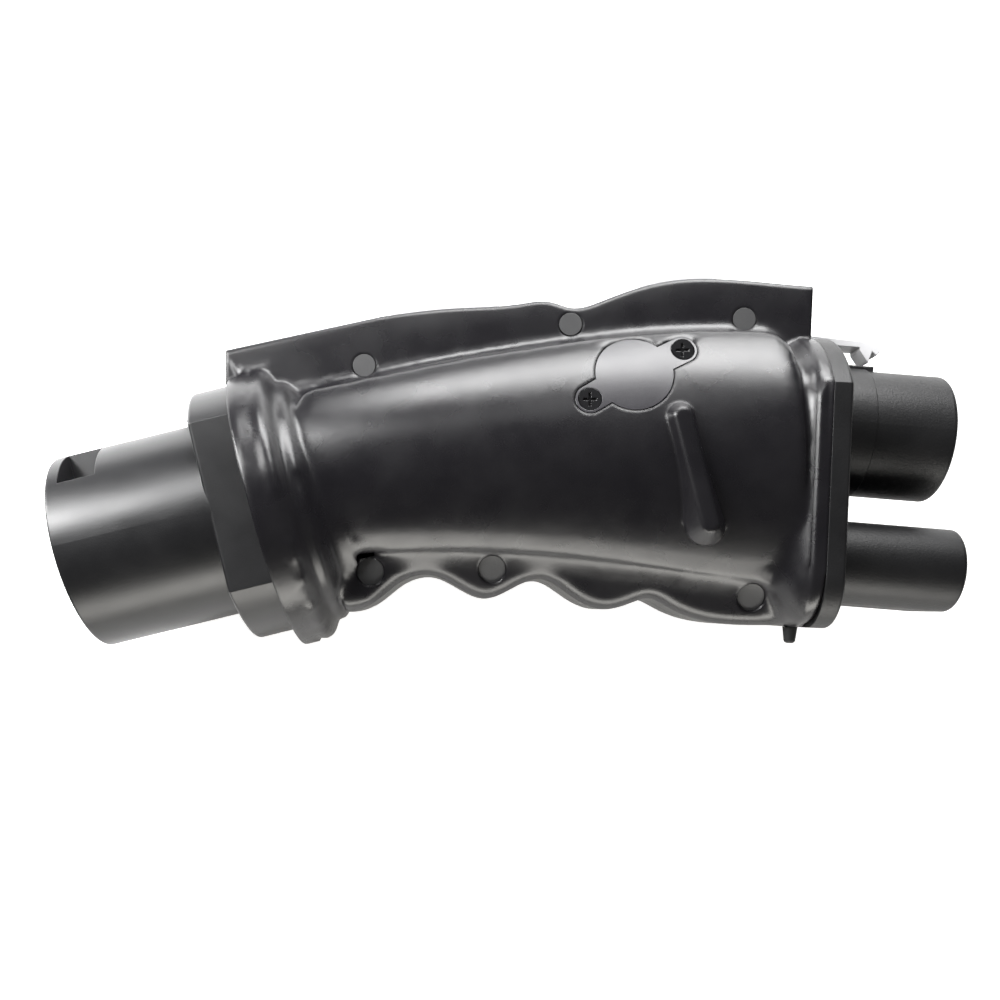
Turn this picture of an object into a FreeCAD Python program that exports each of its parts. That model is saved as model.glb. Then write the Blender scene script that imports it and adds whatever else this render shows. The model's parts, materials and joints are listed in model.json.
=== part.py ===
"""Charging adapter with a large round plug at one end and a combo plug at the other.

The model is built with x along the adapter, y towards the thumb buttons and z across it, with the
parting plane of the two housing halves at z = 0. At the end everything is moved so that the adapter,
lying on its far side, has its origin under the middle of its box. Sizes are in millimetres.
"""
import FreeCAD
import Part
import math
import os
from FreeCAD import Placement, Rotation, Vector

# Round plug
LIP_CENTRE = (-80.45, -2.35)
ROUND_TILT = 13.8
ROUND_R = 33.9
ROUND_WALL = 3.2
ROUND_LENGTH = 52.0
FLANGE_R = 44.0
FLANGE_DEPTH = 19.0
NECK_R = 36.0
CATCH_R = 39.0
CATCH_DEPTH = 3.0
NOTCH_START = 4.3
NOTCH_LENGTH = 12.7
NOTCH_Z = 8.2
NOTCH_Y = 20.9
NOTCH_LINER = 2.4
FACE_RECESS = 3.2
GASKET = 1.7
ARM_SLOT_R = 38.6
ARM_SLOT_HALF = 5.6

# Contacts
POWER_PITCH = 27.5
ROUND_POWER_BORE_R = 4.5
COMBO_POWER_BORE_R = 4.0
POWER_WALL = 2.0
POWER_BORE_DEPTH = 34.0
SEAT_CLEARANCE = 0.1
SIGNAL_BORE_R = 1.0
SIGNAL_R = 2.1
SIGNAL_DEPTH = 16.0
ROUND_SIGNAL_HIGH = 14.0
ROUND_SIGNAL_LOW = -17.0
ROUND_SIGNAL_PITCH = 7.0
SUPPLY_BORE_R = 1.8
SUPPLY_R = 3.1

# Combo plug
PLATE_AT = (103.5, 0.0)
PLATE_TILT = -2.5
PLATE_DEPTH = 6.4
PLATE_HALF = 38.2
PLATE_DOME_R = 44.0
PLATE_DOME_Y = 12.0
PLATE_BOTTOM = -44.8
PLATE_CORNER_R = 17.0
COMBO_TILT = -4.6
UPPER_ROOT_Y = 24.83
UPPER_R = 21.9
UPPER_LENGTH = 41.5
UPPER_WALL = 3.4
BASE_RING_R = 22.5
BASE_RING_LENGTH = 14.0
KEY_HALF = 4.2
KEY_GROOVE = 2.4
KEY_GROOVE_DEPTH = 1.3
GUIDE_LENGTH = 17.5
GUIDE_HALF = 6.0
GUIDE_LOW_R = 20.4
GUIDE_TOP_R = 23.0
LOWER_ROOT_Y = -21.77
LOWER_HALF_HEIGHT = 14.1
LOWER_HALF_WIDTH = 26.5
LOWER_LENGTH = 44.5
LOWER_WALL = 3.2
NECK_INSET = 8.0
NECK_WALL = 2.5
LIP_INSET = 5.5
LIP_DEPTH = 3.0
COMBO_SLOT_HALF = 6.4
COMBO_SLOT_FLOOR = 53.0
COMBO_SLOT_TOP = 60.6

# Housing
WALL = 3.0
SPINE_HALF = 13.0
BAND_HALF = 20.0
RIM_Z = 25.0
POD_RIM_ROUND = 2.4
SPINE_ROUND = 1.8
SPINE_COVE = 6.0
BAND_ROUND = 4.0
COLLAR_DROP = 2.0
COLLAR_R = 48.2
COLLAR_BORE_R = 44.6
COLLAR_BORE_DEPTH = 5.0
COLLAR_AT = ROUND_LENGTH + FLANGE_DEPTH + GASKET - COLLAR_BORE_DEPTH
LIP_LEAN = 2.7
HOOD_X = -94.4
HOOD_REACH = 6.0
WEB_DEPTH = 3.0
FIT_GAP = 0.3
SHELL_END_WALL = 3.0

# Rib, cover and caps
RIB_TOP = (55.9, 22.5)
RIB_FOOT = (64.6, -11.6)
RIB_R = 7.2
RIB_RIDGE_R = 2.6
RIB_BASE_Z = 33.0
RIB_RIDGE_Z = 42.2
COVER_AT = (41.9, 37.5)
COVER_R = 12.8
COVER_EARS = ((27.3, 28.7), (58.2, 45.9))
COVER_EAR_R = 4.9
COVER_THICK = 2.3
COVER_GAP = 0.25
PORT_HOLE_R = 8.5
COVER_GASKET_R = 11.4
COVER_GASKET_DEPTH = 0.8
COVER_SCREW_HEAD_R = 3.7
COVER_SCREW_R = 1.5
COVER_SCREW_LENGTH = 9.0
COVER_SCREW_SINK = 0.5
COVER_SCREW_HEAD = 1.0
HEAD_CLEARANCE = 0.15
TOP_SCREWS = ((-47.0, 44.7), (23.6, 58.8), (83.0, 60.5))
LOW_SCREWS = ((-44.4, -26.0), (-3.5, -25.2), (83.4, -34.6))
TOP_CAP_R = 3.85
LOW_CAP_R = 4.5
TOP_CAP_Z = 13.4
LOW_CAP_Z = 19.2
CAP_DEPTH = 1.6
SCREW_HEAD_R = 3.0
SCREW_HEAD_DEPTH = 2.4
SCREW_R = 1.5
SCREW_LENGTH = 22.0
BOSS_WALL = 1.2

# Latch levers
PIN_R = 2.0
PIN_HALF = 11.8
PIN_PLAY = 0.08
HUB_R = 5.0
HUB_CLEARANCE = 0.6
ARM_HALF = 4.6
BUTTON_HALF = 9.5
BUTTON_SLOT_HALF = 10.1
HUB_LOW = -8.0
HUB_HIGH = 4.8
BUTTON_SKIN = 2.4
BUTTON_ROUND = 1.4
ROUND_PIVOT = (-64.0, 47.0)
COMBO_PIVOT = (97.0, 61.0)
SPRING_WIRE = 0.9
SPRING_R = 3.2
SPRING_TURNS = 3.0
SPRING_PITCH = 1.1
SPRING_LEG = 5.6

# Inside
BUSBAR_HALF = 5.0
BUSBAR_DEPTH = 3.0
BOARD_Z = 16.0
BOARD_DEPTH = 1.6
BOARD_X = (4.0, 76.0)
BOARD_Y = (9.0, 44.0)
BOARD_INSET = 5.0
BOARD_POST_R = 3.2
BOARD_SCREW_R = 1.2
BOARD_SCREW_HEAD_R = 2.4
PORT_HALF = (7.0, 4.0)
PORT_TOP = 27.0
PEG_AT = (-2.6, 12.0)
PEG_STEM_R = 1.7
PEG_STEM = 4.0
PEG_R = 2.5
PEG_TIP_R = 1.8
PEG_LENGTH = 5.6

POWER_Z = POWER_PITCH / 2
Z_AXIS = Vector(0, 0, 1)
BIG = 400.0


def at(x, y, z=0.0):
    return Vector(x, y, z)


def frame(origin, tilt):
    """A placement that turns local x by tilt degrees about z and moves it to origin."""
    return Placement(at(*origin), Rotation(Z_AXIS, tilt))


def ahead(point, tilt, distance):
    """The point at a distance from another in the direction of tilt degrees."""
    turn = math.radians(tilt)
    return (point[0] + distance * math.cos(turn), point[1] + distance * math.sin(turn))


def combo_end(root_y, length):
    """The free end of a barrel that stands on the plate at a local height."""
    root = PLATE.multVec(at(PLATE_DEPTH, root_y))
    return ahead((root.x, root.y), COMBO_TILT, length)


ROUND = frame(ahead(LIP_CENTRE, ROUND_TILT, -COLLAR_AT), ROUND_TILT)
PLATE = frame(PLATE_AT, PLATE_TILT)
UPPER = frame(combo_end(UPPER_ROOT_Y, UPPER_LENGTH), COMBO_TILT)
LOWER = frame(combo_end(LOWER_ROOT_Y, LOWER_LENGTH), COMBO_TILT)


def placed(shape, placement):
    moved = shape.copy()
    moved.Placement = placement.multiply(moved.Placement)
    return moved


def on_round(s, r):
    """Housing coordinates of a point at depth s and height r of the round plug."""
    point = ROUND.multVec(at(s, r))
    return (point.x, point.y)


def polygon(points):
    vertices = [at(*point) for point in points]
    return Part.makePolygon(vertices + vertices[:1])


def spline(points):
    curve = Part.BSplineCurve()
    curve.interpolate([at(*point) for point in points])
    return curve.toShape()


def line(start, end):
    return Part.makeLine(at(*start), at(*end))


def prism(wire, low, high):
    face = Part.Face(wire)
    face.translate(at(0, 0, low))
    return face.extrude(at(0, 0, high - low))


def rod(radius, start, length, y=0.0, z=0.0):
    """A cylinder along local x."""
    return Part.makeCylinder(radius, length, at(start, y, z), at(1, 0, 0))


def post(radius, x, y, low, high):
    """A cylinder along z."""
    return Part.makeCylinder(radius, high - low, at(x, y, low), Z_AXIS)


def block(x0, x1, y0, y1, z0, z1):
    return Part.makeBox(x1 - x0, y1 - y0, z1 - z0, at(x0, y0, z0))


def fused(shapes):
    whole = shapes[0].fuse(shapes[1:]) if len(shapes) > 1 else shapes[0]
    return whole.removeSplitter()


def mirrored(shape):
    return shape.mirror(at(0, 0, 0), Z_AXIS)


def edges_where(shape, test):
    return [edge for edge in shape.Edges if test(edge)]


# Housing outlines

def plate_outline(x, inset):
    """The rounded outline of the combo end at local depth x, as a wire in the local yz plane."""
    half = PLATE_HALF - inset
    dome = PLATE_DOME_R - inset
    bottom = PLATE_BOTTOM + inset
    corner = max(PLATE_CORNER_R - inset, 5.0)
    shoulder = PLATE_DOME_Y + math.sqrt(dome ** 2 - half ** 2)
    top = PLATE_DOME_Y + dome
    c = corner * (1 - math.sqrt(0.5))
    left_top = at(x, shoulder, -half)
    right_top = at(x, shoulder, half)
    right_low = at(x, bottom + corner, half)
    foot_right = at(x, bottom, half - corner)
    foot_left = at(x, bottom, corner - half)
    left_low = at(x, bottom + corner, -half)
    edges = [
        Part.Arc(left_top, at(x, top, 0), right_top).toShape(),
        Part.makeLine(right_top, right_low),
        Part.Arc(right_low, at(x, bottom + c, half - c), foot_right).toShape(),
        Part.makeLine(foot_right, foot_left),
        Part.Arc(foot_left, at(x, bottom + c, c - half), left_low).toShape(),
        Part.makeLine(left_low, left_top),
    ]
    return Part.Wire(edges)


def plate_prism(x0, x1, inset):
    face = Part.Face(plate_outline(x0, inset))
    return placed(face.extrude(at(x1 - x0, 0, 0)), PLATE)


def spine_outline(inset):
    """Side view of the ridge over the housing, from the collar to the combo end."""
    top = -inset
    front = spline([(-40.9, 62.0 + top), (-17.0, 64.7 + top), (6.3, 66.3 + top), (17.0, 66.9 + top),
                    (24.0, 64.9 + top), (34.0, 67.1 + top), (47.4, 71.9 + top), (58.0, 74.2 + top),
                    (72.7, 74.9 + top), (112.0, 72.0 + top)])
    start = (HOOD_X + 4 * inset, 50.4 + 0.217 * 4 * inset + top)
    knee = (-40.9, 62.0 + top)
    end = (112.0, 72.0 + top)
    foot = (HOOD_X + 4 * inset, 20.0)
    edges = [line(start, knee), front, line(end, (112.0, 20.0)), line((112.0, 20.0), foot), line(foot, start)]
    return Part.Wire(edges)


def grip_outline(inset):
    """Side view of the lower band with its finger grooves."""
    up = inset
    grooves = spline([(-53.5, -39.6 + up), (-43.0, -36.2 + up), (-34.0, -29.3 + up), (-25.0, -27.0 + up),
                      (-15.0, -31.2 + up), (-5.0, -34.9 + up), (4.0, -31.3 + up), (13.0, -28.5 + up),
                      (24.0, -34.6 + up), (35.0, -38.7 + up), (43.0, -36.9 + up), (49.5, -35.1 + up),
                      (57.0, -38.3 + up), (66.0, -42.0 + up), (84.0, -44.1 + up), (112.0, -45.4 + up)])
    edges = [grooves, line((112.0, -45.4 + up), (112.0, 25.0)), line((112.0, 25.0), (-66.0, 25.0)),
             line((-66.0, 25.0), (-53.5, -39.6 + up))]
    return Part.Wire(edges)


def pod_outline(inset):
    """Side view of the bulged side of the housing."""
    top = spline([(-70.0 + inset, 32.6 - inset), (-33.0, 40.8 - inset), (5.6, 47.7 - inset),
                  (43.9, 52.6 - inset), (70.0, 54.1 - inset), (95.4 - inset, 53.0 - inset)])
    low = spline([(97.6 - inset, -30.2 + inset), (84.6, -29.0 + inset), (32.1, -22.2 + inset),
                  (-23.2, -19.0 + inset), (-57.0 + inset, -21.0 + inset)])
    edges = [top, line((95.4 - inset, 53.0 - inset), (97.6 - inset, -30.2 + inset)), low,
             line((-57.0 + inset, -21.0 + inset), (-70.0 + inset, 32.6 - inset))]
    return Part.Wire(edges)


def crown_section(x, top, low, crest, inset):
    """An arched section of the bulge at x, wide enough to pass the outline on both sides."""
    middle = (top + low) / 2
    half = (top - low) / 2
    rise = crest - RIM_Z
    radius = (half ** 2 + rise ** 2) / (2 * rise)
    centre = crest - radius - inset
    reach = (half + 6.0) / radius
    y = radius * math.sin(reach)
    z = centre + radius * math.cos(reach)
    left = at(x, middle - y, z)
    right = at(x, middle + y, z)
    arc = Part.Arc(left, at(x, middle, centre + radius), right).toShape()
    low_left = at(x, middle - y, -1.0)
    low_right = at(x, middle + y, -1.0)
    return Part.Wire([arc, Part.makeLine(right, low_right), Part.makeLine(low_right, low_left),
                      Part.makeLine(low_left, left)])


def crown(inset):
    sections = [crown_section(-80.0, 31.5, -21.0, 34.5, inset), crown_section(-20.0, 43.3, -19.2, 37.0, inset),
                crown_section(40.0, 52.3, -23.2, 38.6, inset), crown_section(104.0, 53.5, -30.5, 40.0, inset)]
    return Part.makeLoft(sections, True, False)


def pod(inset):
    outline = prism(pod_outline(inset), 0.0, 60.0)
    corners = {6.0: (-90, -60), 9.0: (90, 110)}
    for radius, span in corners.items():
        upright = edges_where(outline, lambda edge: edge.BoundBox.ZLength > 50
                              and span[0] < edge.BoundBox.Center.x < span[1])
        outline = outline.makeFillet(max(radius - inset, 1.0), upright)
    return outline.common(crown(inset))


def is_rim(edge):
    box = edge.BoundBox
    return box.ZMin > RIM_Z - 12.0 and max(box.XLength, box.YLength) > 0.5


def collar():
    """The bell-shaped lip round the round plug, with two beads behind it and a front that leans at the top."""
    front = [(-HOOD_REACH, 0.0), (-HOOD_REACH, COLLAR_R - 0.8), (0.8, COLLAR_R), (4.4, COLLAR_R)]
    back = [(4.4, COLLAR_R), (5.5, COLLAR_R - 0.9), (7.2, COLLAR_R - 0.5), (9.6, COLLAR_R - 1.1),
            (11.6, COLLAR_R - 3.6), (13.2, COLLAR_R - 5.6), (15.4, COLLAR_R - 6.1), (17.4, COLLAR_R - 8.2),
            (20.0, COLLAR_R - 11.2), (26.0, COLLAR_R - 13.2)]
    edges = [line(a, b) for a, b in zip(front, front[1:])]
    edges += [spline(back), line(back[-1], (back[-1][0], 0.0)), line((back[-1][0], 0.0), front[0])]
    solid = Part.Face(Part.Wire(edges)).revolve(at(0, 0, 0), at(1, 0, 0), 180.0)
    lean = BIG * math.tan(math.radians(LIP_LEAN))
    ahead_of_lip = prism(polygon([(-BIG, -BIG), (0, -BIG), (0, 0), (-lean, BIG), (-BIG, BIG)]), -BIG, BIG)
    solid = solid.cut(ahead_of_lip)
    solid.translate(at(COLLAR_AT, -COLLAR_DROP, 0))
    return placed(solid, ROUND)


def end_flare():
    """The combo end of the housing, swept out from the band to the plate's outline."""
    steps = [(-17.0, 16.0), (-12.0, 9.5), (-8.0, 3.4), (-5.0, 0.6)]
    flare = placed(Part.makeLoft([plate_outline(x, inset) for x, inset in steps], True, False), PLATE)
    rim = plate_prism(-5.0, 0.0, 0.0)
    rim = rim.makeFillet(1.5, edges_where(rim, lambda edge: is_plane_edge(edge, -5.0)))
    return fused([flare, rim])


def is_plane_edge(edge, depth):
    """Whether an edge lies in the plane at a local depth of the combo end."""
    inverse = PLATE.inverse()
    return all(abs(inverse.multVec(vertex.Point).x - depth) < 0.01 for vertex in edge.Vertexes)


def near_space():
    return block(-BIG, BIG, -BIG, BIG, 0, BIG)


def past_end():
    """Everything beyond the plane where the combo plug's plate seats."""
    return placed(block(0, BIG, -BIG, BIG, -BIG, BIG), PLATE)


def outer_half():
    spine = prism(spine_outline(0.0), 0.0, SPINE_HALF)
    spine = spine.cut(past_end())
    spine = spine.makeFillet(SPINE_ROUND, edges_where(spine, is_spine_top))
    band = prism(grip_outline(0.0), 0.0, BAND_HALF).cut(past_end())
    band = band.makeFillet(BAND_ROUND, edges_where(band, is_groove_edge))
    bulge = pod(0.0)
    bulge = bulge.makeFillet(POD_RIM_ROUND, edges_where(bulge, is_rim))
    body = fused([bulge, spine, band])
    body = body.makeFillet(SPINE_COVE, edges_where(body, is_spine_foot))
    return fused([body, collar(), end_flare().common(near_space())])


def is_spine_top(edge):
    box = edge.BoundBox
    return box.ZMin > SPINE_HALF - 0.01 and box.YMin > 45.0 and box.XLength > 5.0


def is_spine_foot(edge):
    """Whether an edge is the long line where the ridge's side meets the top of the bulge."""
    box = edge.BoundBox
    level = box.ZMin > SPINE_HALF - 0.05 and box.ZMax < SPINE_HALF + 0.05
    return level and box.XLength > 140.0 and box.YMin > 25.0 and box.YMax < 58.0


def is_groove_edge(edge):
    box = edge.BoundBox
    return box.ZMin > BAND_HALF - 0.01 and box.YMax < -20.0 and box.XLength > 20.0


def ribs():
    """The raised diagonal rib of one half."""
    low = stadium(RIB_TOP, RIB_FOOT, RIB_R, RIB_BASE_Z)
    high = stadium(RIB_TOP, RIB_FOOT, RIB_RIDGE_R, RIB_RIDGE_Z)
    rib = Part.makeLoft([low, high], True, True)
    crest = edges_where(rib, lambda edge: edge.BoundBox.ZMin > RIB_RIDGE_Z - 0.01)
    return rib.makeFillet(1.6, crest)


def stadium(start, end, radius, z):
    """A stadium outline round a line, in a plane at z."""
    a = at(start[0], start[1], z)
    b = at(end[0], end[1], z)
    along = (b - a).normalize()
    across = Z_AXIS.cross(along) * radius
    tip_a = a - along * radius
    tip_b = b + along * radius
    return Part.Wire([Part.makeLine(a + across, b + across), Part.Arc(b + across, tip_b, b - across).toShape(),
                      Part.makeLine(b - across, a - across), Part.Arc(a - across, tip_a, a + across).toShape()])


def collar_space():
    """The room in the collar for the round plug's flange, neck and catch."""
    web = COLLAR_AT + COLLAR_BORE_DEPTH
    catch = web + WEB_DEPTH
    spaces = [
        rod(COLLAR_BORE_R, COLLAR_AT - 30.0, COLLAR_BORE_DEPTH + 30.0),
        rod(NECK_R + FIT_GAP, COLLAR_AT, 16.0),
        rod(CATCH_R + FIT_GAP, catch, CATCH_DEPTH + FIT_GAP),
        rod(33.0, catch, 24.0),
    ]
    return placed(fused(spaces), ROUND)


def round_slot(half, top, start, end):
    """The way of the round latch's arm past the flange and under the ridge."""
    return placed(block(start, end, ARM_SLOT_R, top, -half, half), ROUND)


def cavity_half():
    """The hollow of one half of the housing."""
    spine = prism(spine_outline(WALL), -1.0, SPINE_HALF - WALL)
    band = prism(grip_outline(WALL), -1.0, BAND_HALF - WALL)
    bulge = pod(WALL)
    limit = placed(block(COLLAR_AT + 26.3, BIG, -BIG, BIG, -BIG, BIG), ROUND)
    end_wall = placed(block(-BIG, -SHELL_END_WALL, -BIG, BIG, -BIG, BIG), PLATE)
    hollow = fused([bulge, spine, band]).common(limit).common(end_wall)
    catch_room = plate_prism(-SHELL_END_WALL - LIP_DEPTH - 2 * FIT_GAP, -SHELL_END_WALL, LIP_INSET - FIT_GAP)
    neck_way = plate_prism(-SHELL_END_WALL - 1.0, 1.0, NECK_INSET - FIT_GAP)
    combo_way = placed(block(-8.0, 1.0, COMBO_SLOT_FLOOR, COMBO_SLOT_TOP, -COMBO_SLOT_HALF, COMBO_SLOT_HALF),
                       PLATE_LEVEL)
    arm_way = round_slot(ARM_SLOT_HALF + 1.4, 47.4, COLLAR_AT - 30.0, COLLAR_AT + 28.3)
    return fused([hollow, collar_space(), catch_room, neck_way]).fuse([combo_way, arm_way])


PLATE_LEVEL = frame((PLATE_AT[0] + (57.0 - PLATE_AT[1]) * math.tan(math.radians(-PLATE_TILT)), 0.0), 0.0)


def button_slots():
    round_button = block(-40.4, 1.6, 50.0, 90.0, -BUTTON_SLOT_HALF, BUTTON_SLOT_HALF)
    combo_button = block(44.2, 75.9, 55.0, 90.0, -BUTTON_SLOT_HALF, BUTTON_SLOT_HALF)
    return [round_button, combo_button]


def screw_places():
    for x, y in TOP_SCREWS:
        yield x, y, TOP_CAP_Z, TOP_CAP_R
    for x, y in LOW_SCREWS:
        yield x, y, LOW_CAP_Z, LOW_CAP_R


def pin_pockets():
    return [post(PIN_R, x, y, -PIN_HALF, PIN_HALF) for x, y in (ROUND_PIVOT, COMBO_PIVOT)]


def hub_rooms():
    """The room in the ridge for the levers' hubs and springs."""
    reach = SPINE_HALF - WALL
    return [post(HUB_R + HUB_CLEARANCE, x, y, -reach, reach) for x, y in (ROUND_PIVOT, COMBO_PIVOT)]


def cover_outline(grow):
    disc = post(COVER_R + grow, COVER_AT[0], COVER_AT[1], 0, 60)
    parts = [disc]
    for ear in COVER_EARS:
        arm = stadium(COVER_AT, ear, COVER_EAR_R + grow, 0)
        parts.append(Part.Face(arm).extrude(at(0, 0, 60)))
    return fused(parts)


def shell_half(outer):
    return outer.cut(cavity_half()).cut(fused(button_slots())).cut(fused(pin_pockets())).cut(fused(hub_rooms()))


def screw_boss(x, y, low, high, outer):
    radius = SCREW_HEAD_R + BOSS_WALL
    return post(radius, x, y, low, high).common(outer)


def near_shell(outer):
    shell = shell_half(outer)
    bosses = [screw_boss(x, y, 0.0, cap_z, outer) for x, y, cap_z, _ in screw_places()]
    posts = [post(BOARD_POST_R, x, y, BOARD_Z + BOARD_DEPTH, 45.0).common(outer) for x, y in board_corners()]
    floor = cover_floor(outer)
    shell = fused([shell] + bosses + posts + [floor])
    for x, y, cap_z, cap_r in screw_places():
        head_z = cap_z - CAP_DEPTH - SCREW_HEAD_DEPTH
        shell = shell.cut(post(cap_r + 0.1, x, y, cap_z - CAP_DEPTH, 60.0))
        shell = shell.cut(post(SCREW_HEAD_R + 0.1, x, y, head_z, cap_z - CAP_DEPTH))
        shell = shell.cut(post(SCREW_R + 0.1, x, y, -1.0, head_z))
    for x, y in board_corners():
        shell = shell.cut(post(BOARD_SCREW_R, x, y, BOARD_Z, BOARD_Z + 8.0))
    shell = fused([shell, ribs().common(block(-BIG, BIG, -BIG, BIG, 34.0, BIG)).cut(crown(1.0))])
    recess = cover_outline(0.0).cut(crown(COVER_THICK))
    shell = shell.cut(recess)
    shell = shell.cut(post(PORT_HOLE_R, COVER_AT[0], COVER_AT[1], 0.0, 60.0))
    shell = shell.cut(cover_gasket(0.0))
    for x, y in COVER_EARS:
        shell = shell.cut(post(COVER_SCREW_R, x, y, 20.0, 60.0))
        shell = shell.cut(post(COVER_SCREW_HEAD_R + HEAD_CLEARANCE, x, y, cover_screw_seat(x, y), 60.0))
    return shell.cut(peg_stem(PEG_STEM_R))


def far_shell(outer):
    shell = mirrored(shell_half(outer))
    far_outer = mirrored(outer)
    bosses = []
    for x, y, _, _ in screw_places():
        bosses.append(screw_boss(x, y, -BIG, 0.0, far_outer))
    shell = fused([shell] + bosses)
    for x, y, cap_z, _ in screw_places():
        tip = cap_z - CAP_DEPTH - SCREW_HEAD_DEPTH - SCREW_LENGTH
        shell = shell.cut(post(SCREW_R, x, y, tip - 1.0, 1.0))
    outside = mirrored(ribs().common(block(-BIG, BIG, -BIG, BIG, 34.0, BIG)).cut(crown(1.0)))
    return fused([shell, outside])


def cover_floor(outer):
    """The seat under the service cover, with room for its screws and gasket."""
    pad = cover_outline(1.6).cut(crown(COVER_THICK + 3.4)).common(crown(COVER_THICK))
    return pad.common(outer)


def cover_gasket(gap):
    ring = post(COVER_GASKET_R - gap, COVER_AT[0], COVER_AT[1], 0.0, 60.0)
    ring = ring.cut(post(COVER_GASKET_R - 1.6 + gap, COVER_AT[0], COVER_AT[1], 0.0, 60.0))
    return ring.common(crown(COVER_THICK)).cut(crown(COVER_THICK + COVER_GASKET_DEPTH))


def service_cover(outer):
    cover = cover_outline(-COVER_GAP).common(outer).cut(crown(COVER_THICK))
    for x, y in COVER_EARS:
        cover = cover.cut(post(COVER_SCREW_HEAD_R + HEAD_CLEARANCE, x, y, cover_screw_seat(x, y), 60.0))
        cover = cover.cut(post(COVER_SCREW_R + HEAD_CLEARANCE, x, y, 0.0, 60.0))
    return cover


def cover_screw_seat(x, y):
    """Height of the seat of a cover screw's head under the bulge's surface."""
    probe = Part.makeLine(at(x, y, 0.0), at(x, y, 60.0)).common(crown(0.0))
    return max(vertex.Z for vertex in probe.Vertexes) - COVER_SCREW_SINK - COVER_SCREW_HEAD


def cover_screws():
    screws = []
    for x, y in COVER_EARS:
        seat = cover_screw_seat(x, y)
        top = seat + COVER_SCREW_HEAD
        head = post(COVER_SCREW_HEAD_R, x, y, seat, top)
        shank = post(COVER_SCREW_R, x, y, seat - COVER_SCREW_LENGTH, seat)
        slot_a = block(x - 2.2, x + 2.2, y - 0.45, y + 0.45, top - 0.7, top + 1.0)
        slot_b = block(x - 0.45, x + 0.45, y - 2.2, y + 2.2, top - 0.7, top + 1.0)
        screws.append(fused([head, shank]).cut(slot_a.fuse(slot_b)))
    return screws


def shell_screws():
    screws = []
    for x, y, cap_z, _ in screw_places():
        top = cap_z - CAP_DEPTH
        head = post(SCREW_HEAD_R, x, y, top - SCREW_HEAD_DEPTH, top)
        shank = post(SCREW_R, x, y, top - SCREW_HEAD_DEPTH - SCREW_LENGTH, top - SCREW_HEAD_DEPTH)
        socket = post(1.3, x, y, top - 1.4, top + 1.0)
        screws.append(fused([head, shank]).cut(socket))
    return screws


def shell_screw_caps():
    return [post(cap_r, x, y, cap_z - CAP_DEPTH, cap_z) for x, y, cap_z, cap_r in screw_places()]


# Round plug

def notch(liner):
    """The stepped pocket on one side near the round plug's mouth."""
    return block(NOTCH_START - liner, NOTCH_START + NOTCH_LENGTH + liner, NOTCH_Y - liner, 60.0,
                 NOTCH_Z - liner, 60.0)


def both_sides(shape):
    return shape.fuse(mirrored(shape))


def round_plug_housing():
    flange = rod(FLANGE_R, ROUND_LENGTH, FLANGE_DEPTH)
    flats = block(0, 200, -60, 60, ROUND_R, 60)
    flange = flange.cut(both_sides(flats))
    flange = flange.makeFillet(1.2, edges_where(flange, lambda edge: edge.BoundBox.XMax < ROUND_LENGTH + 0.01))
    web = COLLAR_AT + COLLAR_BORE_DEPTH
    neck = rod(NECK_R, ROUND_LENGTH + FLANGE_DEPTH, web + WEB_DEPTH + 0.1 - ROUND_LENGTH - FLANGE_DEPTH)
    catch = rod(CATCH_R, web + WEB_DEPTH + 0.1, CATCH_DEPTH)
    barrel = rod(ROUND_R, 0, ROUND_LENGTH + 1.0)
    barrel = barrel.makeFillet(0.8, edges_where(barrel, lambda edge: edge.BoundBox.XMax < 0.01))
    body = fused([barrel, flange, neck, catch])
    hollow = rod(ROUND_R - ROUND_WALL, -1.0, 200.0)
    liner = both_sides(notch(NOTCH_LINER))
    body = body.cut(hollow.cut(liner.common(rod(ROUND_R, 0, 40))))
    body = body.cut(both_sides(notch(0.0)))
    slot = block(ROUND_LENGTH - 1, 100, ARM_SLOT_R, 60, -ARM_SLOT_HALF, ARM_SLOT_HALF)
    return placed(body.cut(slot), ROUND)


def round_gasket():
    start = ROUND_LENGTH + FLANGE_DEPTH
    ring = rod(FLANGE_R - 1.0, start, GASKET).cut(rod(NECK_R + 0.1, start - 1.0, GASKET + 2.0))
    slot = block(0, 100, ARM_SLOT_R - 0.4, 60, -ARM_SLOT_HALF, ARM_SLOT_HALF)
    flats = block(0, 200, -60, 60, ROUND_R + 6.0, 60)
    return placed(ring.cut(slot).cut(both_sides(flats)), ROUND)


def round_signal_places():
    """Local (y, z) of the small contacts: a row of four above and one below the power contacts."""
    for y in (ROUND_SIGNAL_HIGH, ROUND_SIGNAL_LOW):
        for step in (-1.5, -0.5, 0.5, 1.5):
            yield y, step * ROUND_SIGNAL_PITCH


def insulator_blank(radius, start, depth, skin):
    """A cup with a thick front that faces along local x towards lower x."""
    body = rod(radius, start, depth)
    return body.cut(rod(radius - skin, start + 22.0, depth))


def round_insulator():
    radius = ROUND_R - ROUND_WALL - SEAT_CLEARANCE
    end = COLLAR_AT + COLLAR_BORE_DEPTH + WEB_DEPTH + CATCH_DEPTH
    body = insulator_blank(radius, FACE_RECESS, end - FACE_RECESS, 3.0)
    tube_r = ROUND_POWER_BORE_R + POWER_WALL + 2.6
    for z in (POWER_Z, -POWER_Z):
        body = body.fuse(rod(tube_r, FACE_RECESS, POWER_BORE_DEPTH, 0, z))
    for z in (POWER_Z, -POWER_Z):
        body = body.cut(rod(ROUND_POWER_BORE_R + POWER_WALL + SEAT_CLEARANCE, 0, 90, 0, z))
    for y, z in round_signal_places():
        body = body.cut(rod(SIGNAL_R + SEAT_CLEARANCE, 0, 60, y, z))
    body = body.cut(both_sides(notch(NOTCH_LINER + 0.2)))
    return placed(body.removeSplitter(), ROUND)


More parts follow.
